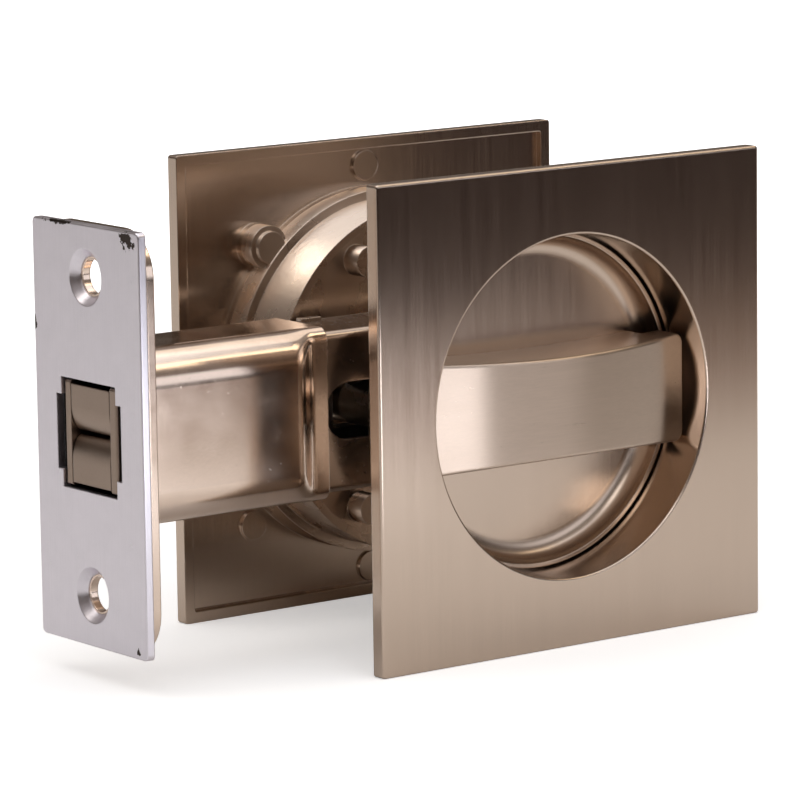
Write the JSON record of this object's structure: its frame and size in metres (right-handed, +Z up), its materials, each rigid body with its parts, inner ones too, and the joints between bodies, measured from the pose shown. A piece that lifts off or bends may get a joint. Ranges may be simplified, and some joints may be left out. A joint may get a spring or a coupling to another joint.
{
  "type": "pocket door privacy lock",
  "caption": "Square satin nickel pocket door privacy lock: round cup pull with thumb-turn bar, rear pull with release, and an edge latch with hooked bolt.",
  "frame": {"origin": "centre of the faceplate's back, where it seats in the door's edge, midway between its two screw holes", "axes": "+X into the door towards the spindle, +Y through the door from the turn side to the release side, +Z up"},
  "size_m": [0.0968, 0.0488, 0.0666],
  "materials": {
    "satin_nickel": "satin nickel plate, brushed",
    "face_steel": "dull plated steel, lightly worn",
    "case_steel": "drawn steel, nickel plated",
    "inner_steel": "plated steel",
    "bolt_steel": "cast and tumbled, nickel plated",
    "spring_steel": "blued spring steel",
    "nylon": "moulded nylon"
  },
  "bodies": {
    "base": {"front_pull": "satin_nickel", "rear_pull": "satin_nickel", "front_bushing": "nylon", "rear_bushing": "nylon", "mounting_screws": "inner_steel", "trim_plate": "face_steel", "back_plate": "face_steel", "latch_case": "case_steel", "tail_channel": "inner_steel", "tail_cover": "inner_steel", "tail_rivets": "inner_steel", "bolt_liner": "nylon", "spreader_pin": "inner_steel", "detent_spring": "spring_steel"},
    "turn": {"turn_dish": "satin_nickel", "turn_bar": "satin_nickel", "turn_clip": "spring_steel", "spindle": "inner_steel", "hub": "inner_steel", "release_button": "satin_nickel", "release_clip": "spring_steel"},
    "bolt": {"carriage": "bolt_steel", "hook_pins": "inner_steel", "bolt_slide": "inner_steel"},
    "upper_hook": {"hook_upper": "bolt_steel"},
    "lower_hook": {"hook_lower": "bolt_steel"}
  },
  "joints": [
    {"name": "turn_rotation", "type": "hinge", "parent": "base", "child": "turn", "pos_m": [0.0611, 0, 0], "axis": [0, -1, 0], "range_deg": [0, 90]},
    {"name": "bolt_throw", "type": "slide", "parent": "base", "child": "bolt", "axis": [-1, 0, 0], "range_m": [0, 0.01]},
    {"name": "upper_hook_swing", "type": "hinge", "parent": "bolt", "child": "upper_hook", "pos_m": [0.0221, 0, 0.0042], "axis": [0, 1, 0], "range_deg": [0, 12]},
    {"name": "lower_hook_swing", "type": "hinge", "parent": "bolt", "child": "lower_hook", "pos_m": [0.0221, 0, -0.0042], "axis": [0, -1, 0], "range_deg": [0, 12]}
  ],
  "couplings": [
    {"joint": "turn_rotation", "follows": "bolt_throw", "rad_per_m": 157.08},
    {"joint": "upper_hook_swing", "follows": "bolt_throw", "rad_per_m": 20.944},
    {"joint": "lower_hook_swing", "follows": "bolt_throw", "rad_per_m": 20.944}
  ]
}
